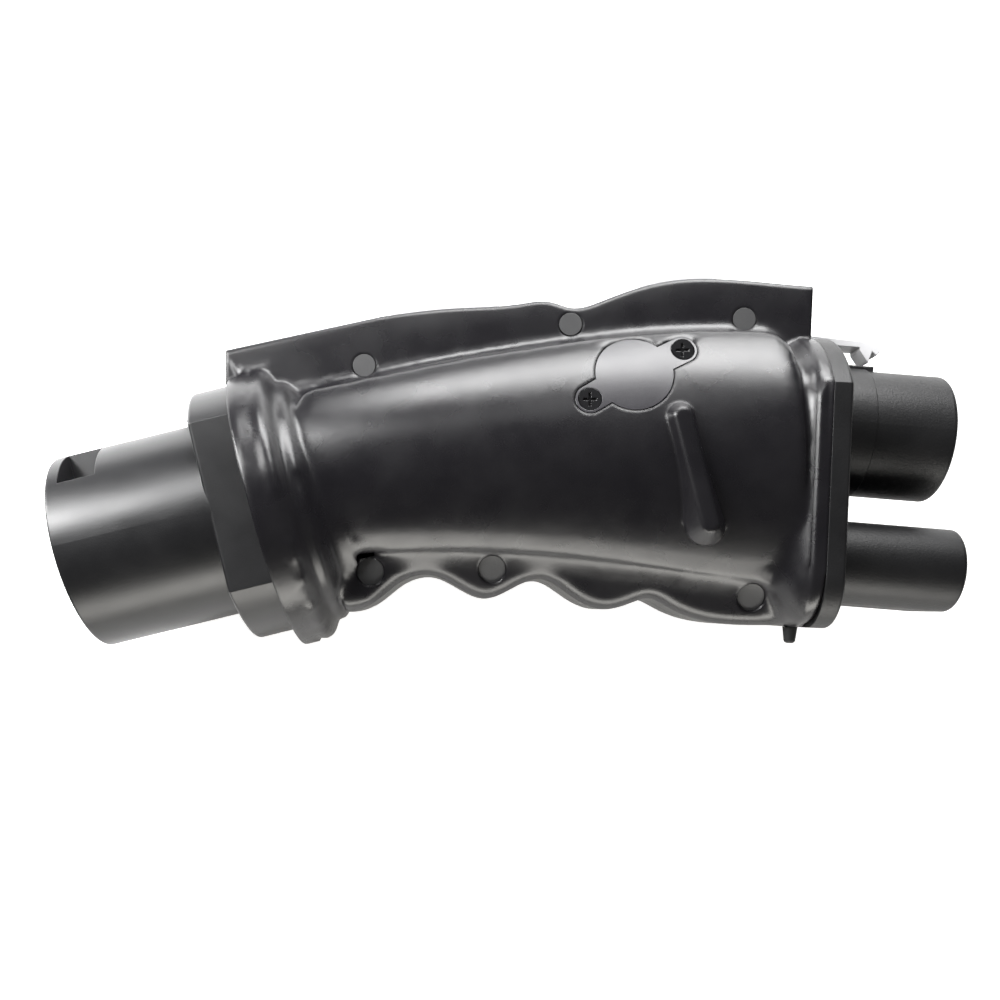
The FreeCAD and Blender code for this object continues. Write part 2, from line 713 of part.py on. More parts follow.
def socket(bore_r, outer_r, start, depth, direction, y, z, tail):
    """A turned contact with a blind bore that opens at start and a solid tail behind it."""
    low = min(start, start + direction * (depth + tail))
    bore_low = min(start - direction, start + direction * depth)
    body = rod(outer_r, low, depth + tail, y, z)
    return body.cut(rod(bore_r, bore_low, depth + 1.0, y, z))


def round_power_sockets():
    outer = ROUND_POWER_BORE_R + POWER_WALL
    return [placed(socket(ROUND_POWER_BORE_R, outer, FACE_RECESS, POWER_BORE_DEPTH, 1, 0, z, 18.0), ROUND)
            for z in (POWER_Z, -POWER_Z)]


def round_signal_sockets():
    return [placed(socket(SIGNAL_BORE_R, SIGNAL_R, FACE_RECESS, SIGNAL_DEPTH, 1, y, z, 8.0), ROUND)
            for y, z in round_signal_places()]


# Combo plug

def obround(half_height, half_width, start, length):
    """A wide bar with round sides along local x."""
    shift = half_width - half_height
    core = block(start, start + length, -half_height, half_height, -shift, shift)
    return fused([core, rod(half_height, start, length, 0, shift), rod(half_height, start, length, 0, -shift)])


def key_grooves():
    """The two grooves that leave a key along the top of the upper barrel."""
    cuts = []
    low = UPPER_R - KEY_GROOVE_DEPTH - 0.5
    for side in (1, -1):
        inner = side * KEY_HALF
        outer = side * (KEY_HALF + KEY_GROOVE)
        cuts.append(block(-UPPER_LENGTH + 2.0, -2.0, low, 40.0, min(inner, outer), max(inner, outer)))
    return cuts


def combo_plug_housing():
    plate = plate_prism(0.0, PLATE_DEPTH, 0.0)
    plate = plate.makeFillet(1.2, edges_where(plate, lambda edge: is_plane_edge(edge, PLATE_DEPTH)))
    neck = plate_prism(-SHELL_END_WALL - LIP_DEPTH, 1.0, NECK_INSET)
    lip = plate_prism(-SHELL_END_WALL - LIP_DEPTH, -SHELL_END_WALL, LIP_INSET)
    upper = rod(UPPER_R, -UPPER_LENGTH - 3.0, UPPER_LENGTH + 3.0)
    upper = upper.makeFillet(1.5, edges_where(upper, lambda edge: edge.BoundBox.XMin > -0.01))
    ring = rod(BASE_RING_R, -UPPER_LENGTH - 3.0, BASE_RING_LENGTH + 3.0)
    seat = block(-UPPER_LENGTH - 6.0, GUIDE_LENGTH - UPPER_LENGTH, GUIDE_LOW_R, 40, -GUIDE_HALF, GUIDE_HALF)
    upper = fused([upper, ring]).cut(fused(key_grooves() + [seat]))
    lower = obround(LOWER_HALF_HEIGHT, LOWER_HALF_WIDTH, -LOWER_LENGTH - 3.0, LOWER_LENGTH + 3.0)
    lower = lower.makeFillet(1.5, edges_where(lower, lambda edge: edge.BoundBox.XMin > -0.01))
    body = plate.fuse(neck).fuse(lip).fuse(placed(upper, UPPER)).fuse(placed(lower, LOWER))
    hollow = plate_prism(-SHELL_END_WALL - LIP_DEPTH - 1.0, 0.0, NECK_INSET + NECK_WALL)
    bore = placed(rod(UPPER_R - UPPER_WALL, -90.0, 120.0), UPPER)
    wide_bore = placed(obround(LOWER_HALF_HEIGHT - LOWER_WALL, LOWER_HALF_WIDTH - LOWER_WALL, -90.0, 120.0), LOWER)
    level = placed(block(-20.0, 20.0, COMBO_SLOT_FLOOR, 90.0, -COMBO_SLOT_HALF, COMBO_SLOT_HALF), PLATE_LEVEL)
    return body.cut(hollow).cut(bore).cut(wide_bore).cut(level)


def latch_guide():
    bar = block(-UPPER_LENGTH + 0.9, GUIDE_LENGTH - UPPER_LENGTH - 0.1, GUIDE_LOW_R, GUIDE_TOP_R,
                -GUIDE_HALF + 0.1, GUIDE_HALF - 0.1)
    top = edges_where(bar, lambda edge: edge.BoundBox.YMin > GUIDE_TOP_R - 0.01 and edge.BoundBox.XLength > 5)
    return placed(bar.makeFillet(0.6, top), UPPER)


def combo_signal_places():
    """Local (y, z) of the small contacts of the upper barrel."""
    return [(-4.5, 10.6), (-4.5, -10.6)]


def combo_supply_places():
    """Local (y, z, bore radius) of the supply and earth contacts of the upper barrel."""
    return [(6.8, 7.9, SUPPLY_BORE_R), (6.8, -7.9, SUPPLY_BORE_R), (-10.8, 0.0, SUPPLY_BORE_R - 0.4)]


def upper_insulator():
    radius = UPPER_R - UPPER_WALL - SEAT_CLEARANCE
    depth = UPPER_LENGTH + PLATE_DEPTH + 4.0
    body = rod(radius, -depth, depth - FACE_RECESS)
    flange = rod(radius + 1.0, -depth, 3.0)
    body = body.fuse(flange).cut(rod(radius - 2.6, -depth - 1.0, depth - 25.0))
    for y, z, _ in combo_supply_places():
        body = body.cut(rod(SUPPLY_R + SEAT_CLEARANCE, -70.0, 90.0, y, z))
    for y, z in combo_signal_places():
        body = body.cut(rod(SIGNAL_R + SEAT_CLEARANCE, -70.0, 90.0, y, z))
    return placed(body.removeSplitter(), UPPER)


def lower_insulator():
    height = LOWER_HALF_HEIGHT - LOWER_WALL - SEAT_CLEARANCE
    width = LOWER_HALF_WIDTH - LOWER_WALL - SEAT_CLEARANCE
    depth = LOWER_LENGTH + PLATE_DEPTH + 4.0
    body = obround(height, width, -depth, depth - FACE_RECESS)
    flange = obround(height + 1.0, width + 1.0, -depth, 3.0)
    body = body.fuse(flange).cut(obround(height - 2.4, width - 2.4, -depth - 1.0, depth - 25.0))
    for z in (POWER_Z, -POWER_Z):
        body = body.cut(rod(COMBO_POWER_BORE_R + POWER_WALL + SEAT_CLEARANCE, -90.0, 110.0, 0, z))
    return placed(body.removeSplitter(), LOWER)


def combo_power_sockets():
    outer = COMBO_POWER_BORE_R + POWER_WALL
    return [placed(socket(COMBO_POWER_BORE_R, outer, -FACE_RECESS, POWER_BORE_DEPTH, -1, 0, z, 16.0), LOWER)
            for z in (POWER_Z, -POWER_Z)]


def combo_supply_sockets():
    return [placed(socket(bore, SUPPLY_R, -FACE_RECESS, SIGNAL_DEPTH, -1, y, z, 8.0), UPPER)
            for y, z, bore in combo_supply_places()]


def combo_signal_sockets():
    return [placed(socket(SIGNAL_BORE_R, SIGNAL_R, -FACE_RECESS, SIGNAL_DEPTH, -1, y, z, 8.0), UPPER)
            for y, z in combo_signal_places()]


# Latch levers

def round_lever():
    arm_top = 44.2
    arm_low = 39.6
    hook = ROUND_LENGTH
    bend = COLLAR_AT + 20.3
    arm = [on_round(hook - 9.3, 43.0), on_round(hook - 6.2, 35.8), on_round(hook - 4.6, 35.4),
           on_round(hook - 3.0, arm_low), on_round(bend, arm_low), (-60.6, 43.2), (-53.4, 51.3), (-41.0, 51.3),
           (-38.0, 56.0), (-37.0, 60.0), (-44.0, 56.8), (-56.6, 53.6), (-67.0, 49.4), on_round(bend, arm_top),
           on_round(hook - 0.4, arm_top)]
    button = [(-38.9, 55.0), (-1.4, 55.0), (-0.6, 66.4), (-1.3, 67.6), (-3.4, 68.9), (-6.4, 69.7), (-11.1, 69.8),
              (-28.0, 69.0), (-32.6, 68.0), (-37.6, 65.0), (-39.6, 62.6)]
    hollow = block(-36.4, -3.8, 50.0, 66.0, -BUTTON_HALF + BUTTON_SKIN, BUTTON_HALF - BUTTON_SKIN)
    return lever(arm, button, hollow, ROUND_PIVOT)


def combo_lever():
    arm = [(74.0, 66.9), (88.6, 66.9), (92.4, 63.0), (95.0, 56.0), (112.0, 54.1), (125.8, 53.1), (125.9, 51.9),
           (128.7, 47.6), (130.1, 51.7), (131.8, 50.2), (132.8, 51.3), (132.9, 52.4), (132.3, 53.2),
           (126.5, 55.1), (114.5, 56.4), (104.0, 57.6), (101.0, 60.0), (98.6, 66.0), (89.6, 70.2), (74.0, 71.0)]
    button = [(46.8, 62.8), (75.2, 62.8), (75.3, 74.4), (74.4, 76.8), (71.4, 79.0), (67.5, 79.6), (60.0, 79.1),
              (52.9, 77.6), (48.0, 74.6), (46.3, 72.6)]
    hollow = block(49.0, 72.8, 60.0, 75.6, -BUTTON_HALF + BUTTON_SKIN, BUTTON_HALF - BUTTON_SKIN)
    return lever(arm, button, hollow, COMBO_PIVOT)


def lever(arm, button, hollow, pivot):
    """One moulding: hook and arm, thumb button with a hollow underside, and a bored hub."""
    bar = prism(polygon(arm), -ARM_HALF, ARM_HALF)
    cap = prism(polygon(button), -BUTTON_HALF, BUTTON_HALF)
    rounds = edges_where(cap, lambda edge: abs(edge.BoundBox.Center.z) > BUTTON_HALF - 0.01
                         and edge.BoundBox.YMin > button[0][1] + 0.5)
    cap = cap.makeFillet(BUTTON_ROUND, rounds).cut(hollow)
    hub = post(HUB_R, pivot[0], pivot[1], HUB_LOW, HUB_HIGH)
    body = fused([bar, cap, hub])
    return body.cut(post(PIN_R + PIN_PLAY, pivot[0], pivot[1], -20, 20))


def lever_pin(pivot):
    return post(PIN_R, pivot[0], pivot[1], -PIN_HALF, PIN_HALF)


def lever_spring(pivot, leg_turn):
    """A torsion spring round the pin, with one leg over the lever's arm and one by the housing."""
    start = ARM_HALF + SPRING_WIRE
    helix = Part.makeHelix(SPRING_PITCH, SPRING_PITCH * SPRING_TURNS, SPRING_R)
    ring = Part.Wire(Part.makeCircle(SPRING_WIRE / 2, at(SPRING_R, 0, 0), at(0, 1, 0)))
    coil = Part.Wire(helix).makePipeShell([ring], True, True)
    foot = Part.makeCylinder(SPRING_WIRE / 2, SPRING_LEG, at(SPRING_R, 0, 0), at(0, -1, 0))
    head = Part.makeCylinder(SPRING_WIRE / 2, SPRING_LEG, at(SPRING_R, 0, SPRING_PITCH * SPRING_TURNS), at(0, 1, 0))
    spring = fused([coil, foot, head])
    spring.rotate(at(0, 0, 0), Z_AXIS, leg_turn)
    spring.translate(at(pivot[0], pivot[1], start))
    return spring


# Inside

def offset_path(points, half):
    """A closed outline at half to each side of a path."""
    left = []
    right = []
    for index, point in enumerate(points):
        before = points[max(index - 1, 0)]
        after = points[min(index + 1, len(points) - 1)]
        first = Vector(point[0] - before[0], point[1] - before[1], 0)
        second = Vector(after[0] - point[0], after[1] - point[1], 0)
        first = second if first.Length == 0 else first
        second = first if second.Length == 0 else second
        first.normalize()
        second.normalize()
        bisector = (first + second).normalize()
        normal = Z_AXIS.cross(bisector) * (half / bisector.dot(first))
        left.append((point[0] + normal.x, point[1] + normal.y))
        right.append((point[0] - normal.x, point[1] - normal.y))
    return polygon(left + right[::-1])


def busbar(z):
    rear = FACE_RECESS + POWER_BORE_DEPTH + 18.0
    far = LOWER.multVec(at(-FACE_RECESS - POWER_BORE_DEPTH - 16.0, 0))
    bend = LOWER.multVec(at(-FACE_RECESS - POWER_BORE_DEPTH - 32.0, 0))
    path = [on_round(rear, 0), on_round(rear + 30.0, 0), (50.0, -11.0), (bend.x, bend.y), (far.x, far.y)]
    return prism(offset_path(path, BUSBAR_HALF), z - BUSBAR_DEPTH / 2, z + BUSBAR_DEPTH / 2)


def board_corners():
    for x in (BOARD_X[0] + BOARD_INSET, BOARD_X[1] - BOARD_INSET):
        for y in (BOARD_Y[0] + BOARD_INSET, BOARD_Y[1] - BOARD_INSET):
            yield x, y


def control_board():
    board = block(BOARD_X[0], BOARD_X[1], BOARD_Y[0], BOARD_Y[1], BOARD_Z, BOARD_Z + BOARD_DEPTH)
    for x, y in board_corners():
        board = board.cut(post(BOARD_SCREW_R + 0.2, x, y, 0, 60))
    return board


def board_screws():
    screws = []
    for x, y in board_corners():
        head = post(BOARD_SCREW_HEAD_R, x, y, BOARD_Z - 1.5, BOARD_Z)
        screws.append(fused([head, post(BOARD_SCREW_R, x, y, BOARD_Z, BOARD_Z + 7.0)]))
    return screws


def service_port():
    base = BOARD_Z + BOARD_DEPTH
    half_x, half_y = PORT_HALF
    body = block(COVER_AT[0] - half_x, COVER_AT[0] + half_x, COVER_AT[1] - half_y, COVER_AT[1] + half_y, base, PORT_TOP)
    mouth = block(COVER_AT[0] - half_x + 1, COVER_AT[0] + half_x - 1, COVER_AT[1] - half_y + 1,
                  COVER_AT[1] + half_y - 1, PORT_TOP - 6.0, PORT_TOP + 1)
    return body.cut(mouth)


def peg_stem(radius):
    """The part of the drain peg that sits in the housing's floor."""
    stem = Part.makeCylinder(radius, PEG_STEM, at(PEG_AT[0], PLATE_BOTTOM, PEG_AT[1]), at(0, 1, 0))
    return placed(stem, PLATE)


def drain_peg():
    head = Part.makeCone(PEG_R, PEG_TIP_R, PEG_LENGTH, at(PEG_AT[0], PLATE_BOTTOM, PEG_AT[1]), at(0, -1, 0))
    tip = edges_where(head, lambda edge: edge.BoundBox.YMax < PLATE_BOTTOM - PEG_LENGTH + 0.01)
    return fused([placed(head.makeFillet(1.2, tip), PLATE), peg_stem(PEG_STEM_R)])


def all_parts():
    outer = outer_half()
    return {
        "near_shell": [near_shell(outer)],
        "far_shell": [far_shell(outer)],
        "service_cover": [service_cover(outer)],
        "service_cover_gasket": [cover_gasket(0.1)],
        "service_cover_screws": cover_screws(),
        "shell_screws": shell_screws(),
        "shell_screw_caps": shell_screw_caps(),
        "round_plug_housing": [round_plug_housing()],
        "round_plug_gasket": [round_gasket()],
        "round_plug_insulator": [round_insulator()],
        "round_plug_power_sockets": round_power_sockets(),
        "round_plug_signal_sockets": round_signal_sockets(),
        "combo_plug_housing": [combo_plug_housing()],
        "combo_latch_guide": [latch_guide()],
        "combo_plug_upper_insulator": [upper_insulator()],
        "combo_plug_lower_insulator": [lower_insulator()],
        "combo_plug_power_sockets": combo_power_sockets(),
        "combo_plug_supply_sockets": combo_supply_sockets(),
        "combo_plug_signal_sockets": combo_signal_sockets(),
        "round_latch_lever": [round_lever()],
        "round_latch_pin": [lever_pin(ROUND_PIVOT)],
        "round_latch_spring": [lever_spring(ROUND_PIVOT, 0.0)],
        "combo_latch_lever": [combo_lever()],
        "combo_latch_pin": [lever_pin(COMBO_PIVOT)],
        "combo_latch_spring": [lever_spring(COMBO_PIVOT, 0.0)],
        "positive_busbar": [busbar(POWER_Z)],
        "negative_busbar": [busbar(-POWER_Z)],
        "control_board": [control_board()],
        "board_screws": board_screws(),
        "service_port": [service_port()],
        "drain_peg": [drain_peg()],
    }


def export(parts):
    """Move the parts so that the adapter rests on z = 0 under the middle of its box, and write them."""
    os.makedirs("parts", exist_ok=True)
    whole = FreeCAD.BoundBox()
    for solids in parts.values():
        for solid in solids:
            solid.tessellate(0.05)
            whole.add(solid.optimalBoundingBox(True, False))
    shift = at(-whole.Center.x, -whole.Center.y, -whole.ZMin)
    print("shift", round(shift.x, 4), round(shift.y, 4), round(shift.z, 4))
    print("size", round(whole.XLength, 2), round(whole.YLength, 2), round(whole.ZLength, 2))
    for name, solids in parts.items():
        shape = solids[0] if len(solids) == 1 else Part.makeCompound(solids)
        shape.translate(shift)
        shape.exportStep("parts/" + name + ".step")
        print(name, len(shape.Solids), round(shape.Volume, 1), shape.isValid())


export(all_parts())
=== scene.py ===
"""Looks of the charging adapter: materials, moulded detail, pale studio and the camera of the photograph."""
import bmesh
import bpy
import json
import math
import numpy
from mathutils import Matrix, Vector

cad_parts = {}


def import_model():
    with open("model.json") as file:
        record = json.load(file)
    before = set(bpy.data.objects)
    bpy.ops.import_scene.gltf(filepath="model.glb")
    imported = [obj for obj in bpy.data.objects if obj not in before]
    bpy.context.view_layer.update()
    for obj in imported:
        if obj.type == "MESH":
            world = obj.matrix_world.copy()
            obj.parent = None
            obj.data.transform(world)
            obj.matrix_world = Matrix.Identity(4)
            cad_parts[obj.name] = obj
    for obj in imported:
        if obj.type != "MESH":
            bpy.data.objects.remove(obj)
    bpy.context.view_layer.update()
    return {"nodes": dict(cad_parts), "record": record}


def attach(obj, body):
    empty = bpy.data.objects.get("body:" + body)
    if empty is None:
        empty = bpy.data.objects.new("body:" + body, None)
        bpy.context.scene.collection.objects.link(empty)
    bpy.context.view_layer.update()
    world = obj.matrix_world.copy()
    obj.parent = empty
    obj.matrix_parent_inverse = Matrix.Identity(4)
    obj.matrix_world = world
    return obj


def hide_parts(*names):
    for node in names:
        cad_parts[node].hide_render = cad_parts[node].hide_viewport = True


MM = 0.001

# The design's own origin, on the parting plane at the picture's centre, in the part's frame.
DESIGN_ORIGIN = Vector((-0.0991, -14.1737, 48.2141)) * MM

# The camera looks straight down on the parting plane, which shows at the given scale. The photograph is
# framed off the camera's own axis, so the picture is shifted.
CAMERA_AT = (-15.25, -37.2, 370.0)
CAMERA_SHIFT = (0.043, 0.105)
PIXELS_PER_MM = 2.82
SENSOR_MM = 36.0
PICTURE_PX = 1000.0
CLIP_M = (0.01, 10.0)

# Studio. Places and sizes are in mm in the design's frame, powers in watts.
WORLD_LIGHT = 0.06
FLOOR_SIZE_M = 3.0
FLOOR_GREY = 0.90
FLOOR_LIFT = 0.62
WHITE = (1.0, 1.0, 1.0)
WARM = (1.0, 0.98, 0.93)
LAMPS = (
    # name, place, aim, size, power, colour
    ("key_above", (70.0, 400.0, 190.0), (40.0, 20.0, 0.0), (420.0, 150.0), 3.8, WHITE),
    ("key_left", (-230.0, 240.0, 330.0), (-110.0, 0.0, 0.0), (150.0, 110.0), 0.7, WHITE),
    ("front_above", (-60.0, 250.0, 380.0), (0.0, 10.0, 0.0), (520.0, 60.0), 0.2, WHITE),
    ("top_right", (170.0, 400.0, 60.0), (110.0, 10.0, 0.0), (220.0, 90.0), 0.6, WHITE),
    ("fill_below", (40.0, -400.0, 110.0), (0.0, -20.0, 0.0), (640.0, 150.0), 2.4, WARM),
    ("side_left", (-390.0, 190.0, 240.0), (-95.0, 20.0, 0.0), (80.0, 320.0), 4.2, WHITE),
)

# Textures: noise values run from about 0.3 to 0.7.
NOISE_RANGE = (0.3, 0.7)
MOTTLE_SCALE = 60.0
EDGE_SOFT_MM = 0.45
BEVEL_SAMPLES = 6
GLOSS_SPREAD = 0.03
MARK_SPREAD = 0.06
MARK_SHADE = 0.85

# Side of the parting plane on which each half of the housing lies.
HALVES = {"near_shell": 1.0, "far_shell": -1.0}

# The long edges of the bulge, in the design's side view, as polynomials through their points.
BULGE_TOP_X = (-70.0, -33.0, 5.6, 43.9, 70.0, 95.4)
BULGE_TOP_Y = (32.6, 40.8, 47.7, 52.6, 54.1, 53.0)
BULGE_TOP = numpy.polyfit(BULGE_TOP_X, BULGE_TOP_Y, 3)
BULGE_LOW_X = (-57.0, -23.2, 32.1, 84.6, 97.6)
BULGE_LOW_Y = (-21.0, -19.0, -22.2, -29.0, -30.2)
BULGE_LOW = numpy.polyfit(BULGE_LOW_X, BULGE_LOW_Y, len(BULGE_LOW_X) - 1)

# The finger band: it stands higher at the bulge's foot, where it flows into it, and slopes away from there.
BAND_RISE = 1.5
BAND_RISE_LENGTH = 2.6
BAND_RAISE = 2.3
BAND_SLOPE = 0.36
BAND_ROOT_Z = 7.0
BAND_Z = 20.0
BULGE_RIM_Z = 25.0
BAND_FOOT = (-4.0, -3.0)
BAND_FRONT = (-48.0, -36.0)
BAND_BACK = (90.0, 104.0)
BAND_MARGIN = 2.0

# Zones that are smoothed. Each pair is where the smoothing sets in or ends along a measure.
EDGE_REACH = (4.0, 7.0)
LOW_EDGE_OFFSET = 0.5
LOW_EDGE_FRONT = (-64.0, -56.0)
LOW_EDGE_BACK = (96.0, 102.0)
TOP_EDGE_OFFSET = 1.5
TOP_EDGE_FRONT = (-66.0, -60.0)
TOP_EDGE_BACK = (90.0, 95.0)
FOOT_Z = (12.0, 16.0)
WALL_Z = (28.0, 34.0)
SADDLE_FRONT = (-93.0, -86.0)
SADDLE_BACK = (2.0, 13.0)
SADDLE_Z = (4.0, 18.0)
FRONT_WALL_AT = (-57.0, -21.0)
FRONT_WALL_LEAN = 0.2425
END_FRONT = (86.0, 91.0)
END_BACK = (100.5, 102.5)
END_TOP = (58.0, 62.0)
END_Z = (12.0, 18.0)

# Places around which the housing's edges stay crisp, and how far.
CAPS_AT = ((-47.0, 44.7), (23.6, 58.8), (83.0, 60.5), (-44.4, -26.0), (-3.5, -25.2), (83.4, -34.6))
CAP_KEEP_MM = 4.9
COVER_AT = (41.9, 37.5)
COVER_KEEP_MM = 24.0
COVER_LOW_Z = 32.0
LIP_AT = (-80.45, -2.35)
LIP_TILT = math.radians(13.8)
LIP_KEEP_MM = 1.4
PARTING_KEEP_Z = 3.0
INSIDE_FACING = -0.25

WELD_MM = 0.002
SOFT_EDGE_MM = 1.3
REFINE_ROUNDS = 7
SOFT_ROUNDS = 60
SOFT_FACTOR = 0.5
SHARP_DEG = 38.0


def design(x, y, z=0.0):
    """A point of the design in the part's frame, in metres."""
    return DESIGN_ORIGIN + Vector((x, y, z)) * MM


# Materials

def new_material(name):
    material = bpy.data.materials.new(name)
    material.use_nodes = True
    return material, material.node_tree, material.node_tree.nodes["Principled BSDF"]


def noise(tree, scale, detail, roughness=0.5):
    coords = tree.nodes.new("ShaderNodeTexCoord")
    texture = tree.nodes.new("ShaderNodeTexNoise")
    texture.inputs["Scale"].default_value = scale
    texture.inputs["Detail"].default_value = detail
    texture.inputs["Roughness"].default_value = roughness
    tree.links.new(coords.outputs["Object"], texture.inputs["Vector"])
    return texture


def ranged(tree, source, low, high):
    """The noise spread over low to high."""
    spread = tree.nodes.new("ShaderNodeMapRange")
    spread.inputs["From Min"].default_value = NOISE_RANGE[0]
    spread.inputs["From Max"].default_value = NOISE_RANGE[1]
    spread.inputs["To Min"].default_value = low
    spread.inputs["To Max"].default_value = high
    tree.links.new(source, spread.inputs["Value"])
    return spread.outputs["Result"]


def mottled(tree, source, dark, pale):
    mix = tree.nodes.new("ShaderNodeMix")
    mix.data_type = "RGBA"
    mix.inputs["A"].default_value = (*dark, 1.0)
    mix.inputs["B"].default_value = (*pale, 1.0)
    tree.links.new(source, mix.inputs["Factor"])
    return mix.outputs["Result"]


def plastic(name, dark, pale, rough, grain_scale, grain_mm, gloss=0.5, soft_mm=EDGE_SOFT_MM):
    """Moulded plastic: a fine spark-eroded grain, faint mottling and slightly uneven gloss."""
    material, tree, shader = new_material(name)
    shader.inputs["Specular IOR Level"].default_value = gloss
    broad = noise(tree, MOTTLE_SCALE, 3.0)
    fine = noise(tree, grain_scale, 3.0, 0.6)
    colour = mottled(tree, ranged(tree, broad.outputs["Fac"], 0.0, 1.0), dark, pale)
    tree.links.new(colour, shader.inputs["Base Color"])
    uneven = ranged(tree, broad.outputs["Fac"], rough - GLOSS_SPREAD, rough + GLOSS_SPREAD)
    tree.links.new(uneven, shader.inputs["Roughness"])
    bevel = tree.nodes.new("ShaderNodeBevel")
    bevel.inputs["Radius"].default_value = soft_mm * MM
    bevel.samples = BEVEL_SAMPLES
    bump = tree.nodes.new("ShaderNodeBump")
    bump.inputs["Strength"].default_value = 1.0
    bump.inputs["Distance"].default_value = grain_mm * MM
    tree.links.new(fine.outputs["Fac"], bump.inputs["Height"])
    tree.links.new(bevel.outputs["Normal"], bump.inputs["Normal"])
    tree.links.new(bump.outputs["Normal"], shader.inputs["Normal"])
    return material


def metal(name, colour, rough, mark_scale):
    """Bright metal with fine turning marks."""
    material, tree, shader = new_material(name)
    shader.inputs["Metallic"].default_value = 1.0
    marks = noise(tree, mark_scale, 4.0)
    shaded = tuple(MARK_SHADE * value for value in colour)
    tint = mottled(tree, ranged(tree, marks.outputs["Fac"], 0.0, 1.0), shaded, colour)
    tree.links.new(tint, shader.inputs["Base Color"])
    uneven = ranged(tree, marks.outputs["Fac"], rough - MARK_SPREAD, rough + MARK_SPREAD)
    tree.links.new(uneven, shader.inputs["Roughness"])
    return material


PLASTICS = {
    # name: dark, pale, roughness, grain's scale, grain's depth in mm, then gloss and edge softness where given
    "housing_black": ((0.0060, 0.0056, 0.0070), (0.0090, 0.0085, 0.0100), 0.28, 2600.0, 0.028, 0.5, 1.6),
    "plug_black": ((0.0060, 0.0060, 0.0068), (0.0090, 0.0090, 0.0098), 0.34, 2600.0, 0.03),
    "plate_black": ((0.0050, 0.0050, 0.0056), (0.0075, 0.0075, 0.0082), 0.46, 1500.0, 0.08, 0.4),
    "cover_black": ((0.010, 0.009, 0.0125), (0.014, 0.013, 0.017), 0.36, 3200.0, 0.02, 0.6, 0.3),
    "cap_grey": ((0.034, 0.034, 0.035), (0.046, 0.046, 0.047), 0.48, 2200.0, 0.05, 0.5, 0.2),
    "latch_grey": ((0.50, 0.50, 0.51), (0.60, 0.60, 0.61), 0.42, 1800.0, 0.03),
    "insulator_black": ((0.010, 0.010, 0.010), (0.014, 0.014, 0.014), 0.5, 2200.0, 0.04),
    "seal_rubber": ((0.007, 0.007, 0.007), (0.011, 0.011, 0.011), 0.6, 1400.0, 0.06, 0.35),
    "black_steel": ((0.008, 0.008, 0.009), (0.014, 0.014, 0.015), 0.22, 3000.0, 0.01, 0.7, 0.15),
    "board_green": ((0.010, 0.10, 0.040), (0.016, 0.14, 0.055), 0.3, 1500.0, 0.02),
}
METALS = {
    # name: colour, roughness, scale of the marks
    "bright_steel": ((0.60, 0.60, 0.62), 0.28, 900.0),
    "silvered_copper": ((0.86, 0.84, 0.78), 0.22, 1200.0),
    "copper": ((0.82, 0.46, 0.33), 0.32, 700.0),
}


def make_materials():
    materials = {name: plastic(name, *values) for name, values in PLASTICS.items()}
    materials.update({name: metal(name, *values) for name, values in METALS.items()})
    return materials


def dress_nodes(frame, materials):
    """Every CAD node takes the material of its slot."""
    slots = {row["node"]: row["material_slot"] for row in frame["record"]["subparts"]}
    for name, node in frame["nodes"].items():
        node.data.materials.clear()
        node.data.materials.append(materials[slots[name]])


# Flowing surfaces of the housing

def step(value, low, high):
    """Zero below low, one above high and smooth between them."""
    share = numpy.clip((value - low) / (high - low), 0.0, 1.0)
    return share * share * (3.0 - 2.0 * share)


def until(value, low, high):
    """One below low, zero above high and smooth between them."""
    return 1.0 - step(value, low, high)


def bulge_low(x):
    """Height of the bulge's long low edge at x."""
    return numpy.polyval(BULGE_LOW, x)


def behind_lip(x, y):
    """Distance behind the plane of the collar's lip."""
    return (x - LIP_AT[0]) * math.cos(LIP_TILT) + (y - LIP_AT[1]) * math.sin(LIP_TILT)


def behind_front_wall(x, y):
    """Distance along x behind the bulge's leaning front wall."""
    return x - FRONT_WALL_AT[0] + FRONT_WALL_LEAN * (y - FRONT_WALL_AT[1])


def half_places(mesh, side):
    """Places of the points in the design's frame in mm, as if in the near half, and how far each faces out."""
    places = (numpy.array([vert.co[:] for vert in mesh.verts]) - numpy.array(DESIGN_ORIGIN)) / MM
    places[:, 2] *= side
    facing = numpy.array([vert.normal.z for vert in mesh.verts]) * side
    return places, facing


def band_lift(places):
    """How far the finger band's surface is moved out, so that it slopes away from the bulge's foot."""
    x, y, z = places.T
    below = bulge_low(x) - y
    depth = numpy.maximum(below, 0.0)
    shape = BAND_RISE * numpy.exp(-depth / BAND_RISE_LENGTH) + BAND_RAISE - BAND_SLOPE * depth
    under_rim = numpy.clip((BULGE_RIM_Z - z) / (BULGE_RIM_Z - BAND_Z), 0.0, 1.0)
    reach = step(z, BAND_ROOT_Z, BAND_Z) * under_rim
    along = step(x, *BAND_FRONT) * until(x, *BAND_BACK)
    return shape * reach * along * step(below, *BAND_FOOT)


